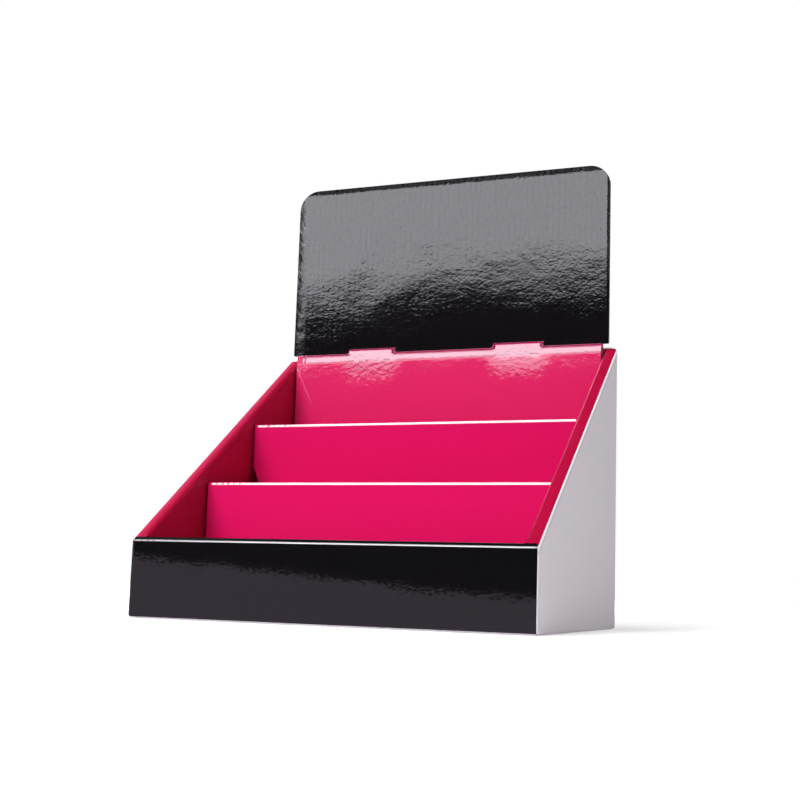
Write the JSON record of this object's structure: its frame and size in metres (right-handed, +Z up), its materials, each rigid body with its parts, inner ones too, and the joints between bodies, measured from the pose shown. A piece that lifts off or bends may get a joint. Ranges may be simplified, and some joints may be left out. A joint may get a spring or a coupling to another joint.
{
  "type": "cardboard display stand",
  "caption": "Counter-top display stand in printed folded board, with a low front lip, sloping hollow sides, a stepped insert and a header card.",
  "frame": {"origin": "centre of the footprint, on the surface the stand rests on", "axes": "+X to the right seen from the front, +Y from the front lip to the back wall, +Z up"},
  "size_m": [0.2, 0.16, 0.2572],
  "materials": {
    "tray_board": "printed fine-flute board: gloss black lip, grey sides, pink rims",
    "insert_board": "printed fine-flute board, gloss pink",
    "header_board": "printed fine-flute board, gloss black"
  },
  "bodies": {
    "root": {"tray": "tray_board", "step_insert": "insert_board", "header_card": "header_board"}
  },
  "joints": []
}
